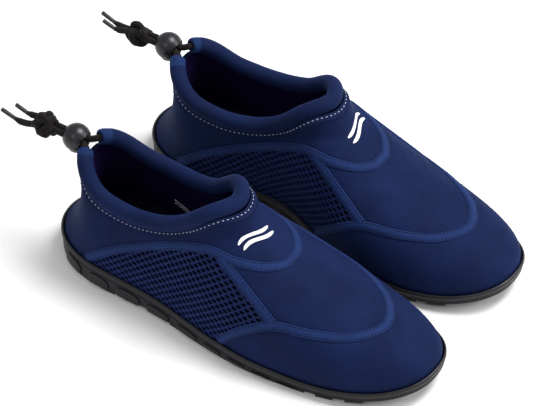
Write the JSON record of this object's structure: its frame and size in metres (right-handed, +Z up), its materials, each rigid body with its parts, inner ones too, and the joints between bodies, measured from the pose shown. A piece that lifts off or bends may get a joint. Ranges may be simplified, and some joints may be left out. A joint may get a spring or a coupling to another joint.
{
  "type": "neoprene water shoes",
  "caption": "Low slip-on neoprene water shoes with a rubber outsole, net side panels and a drawcord collar closed by a spring ball lock at the heel.",
  "frame": {"origin": "on the ground midway between the two shoes, halfway along the outsoles", "axes": "+Z up, toes towards -Y, the wearer's left towards +X"},
  "size_m": [0.21, 0.3344, 0.1014],
  "materials": {
    "sole_rubber": "satin moulded rubber",
    "strobel_felt": "needled felt",
    "insole_foam": "cloth-faced foam",
    "neoprene": "knit-faced neoprene",
    "binding_tape": "knitted tape",
    "netting": "open knitted net",
    "net_lining": "thin knit",
    "cord_braid": "braided elastic cord",
    "black_plastic": "satin black plastic",
    "spring_steel": "plain wire"
  },
  "bodies": {
    "root": {"right_outsole": "sole_rubber", "right_strobel_board": "strobel_felt", "right_insole": "insole_foam", "right_heel_yoke": "neoprene", "right_collar_facing": "neoprene", "right_collar": "neoprene", "right_vamp": "neoprene", "right_toe_guard": "neoprene", "right_net_outer": "netting", "right_net_inner": "netting", "right_net_lining_outer": "net_lining", "right_net_lining_inner": "net_lining", "right_yoke_binding": "binding_tape", "right_toe_binding": "binding_tape", "right_vamp_binding_outer": "binding_tape", "right_vamp_binding_inner": "binding_tape", "right_drawcord": "cord_braid", "right_cord_lead_outer": "cord_braid", "right_cord_lead_inner": "cord_braid", "right_cord_tail_outer": "cord_braid", "right_cord_tail_inner": "cord_braid", "right_knot": "cord_braid", "right_aglet_outer": "black_plastic", "right_aglet_inner": "black_plastic", "left_outsole": "sole_rubber", "left_strobel_board": "strobel_felt", "left_insole": "insole_foam", "left_heel_yoke": "neoprene", "left_collar_facing": "neoprene", "left_collar": "neoprene", "left_vamp": "neoprene", "left_toe_guard": "neoprene", "left_net_outer": "netting", "left_net_inner": "netting", "left_net_lining_outer": "net_lining", "left_net_lining_inner": "net_lining", "left_yoke_binding": "binding_tape", "left_toe_binding": "binding_tape", "left_vamp_binding_outer": "binding_tape", "left_vamp_binding_inner": "binding_tape", "left_drawcord": "cord_braid", "left_cord_lead_outer": "cord_braid", "left_cord_lead_inner": "cord_braid", "left_cord_tail_outer": "cord_braid", "left_cord_tail_inner": "cord_braid", "left_knot": "cord_braid", "left_aglet_outer": "black_plastic", "left_aglet_inner": "black_plastic"},
    "right_lock": {"right_lock_ball": "black_plastic", "right_lock_spring": "spring_steel"},
    "right_plunger": {"right_lock_plunger": "black_plastic"},
    "left_lock": {"left_lock_ball": "black_plastic", "left_lock_spring": "spring_steel"},
    "left_plunger": {"left_lock_plunger": "black_plastic"}
  },
  "joints": [
    {"name": "right_lock_slide", "type": "slide", "parent": "root", "child": "right_lock", "axis": [0, 1, 0], "range_m": [0, 0.006]},
    {"name": "right_plunger_press", "type": "slide", "parent": "right_lock", "child": "right_plunger", "axis": [0, 0, 1], "range_m": [0, 0.002], "stiffness_N_per_m": 400, "springref_m": -0.002, "deforming": ["right_lock_spring"]},
    {"name": "left_lock_slide", "type": "slide", "parent": "root", "child": "left_lock", "axis": [0, 1, 0], "range_m": [0, 0.006]},
    {"name": "left_plunger_press", "type": "slide", "parent": "left_lock", "child": "left_plunger", "axis": [0, 0, 1], "range_m": [0, 0.002], "stiffness_N_per_m": 400, "springref_m": -0.002, "deforming": ["left_lock_spring"]}
  ]
}
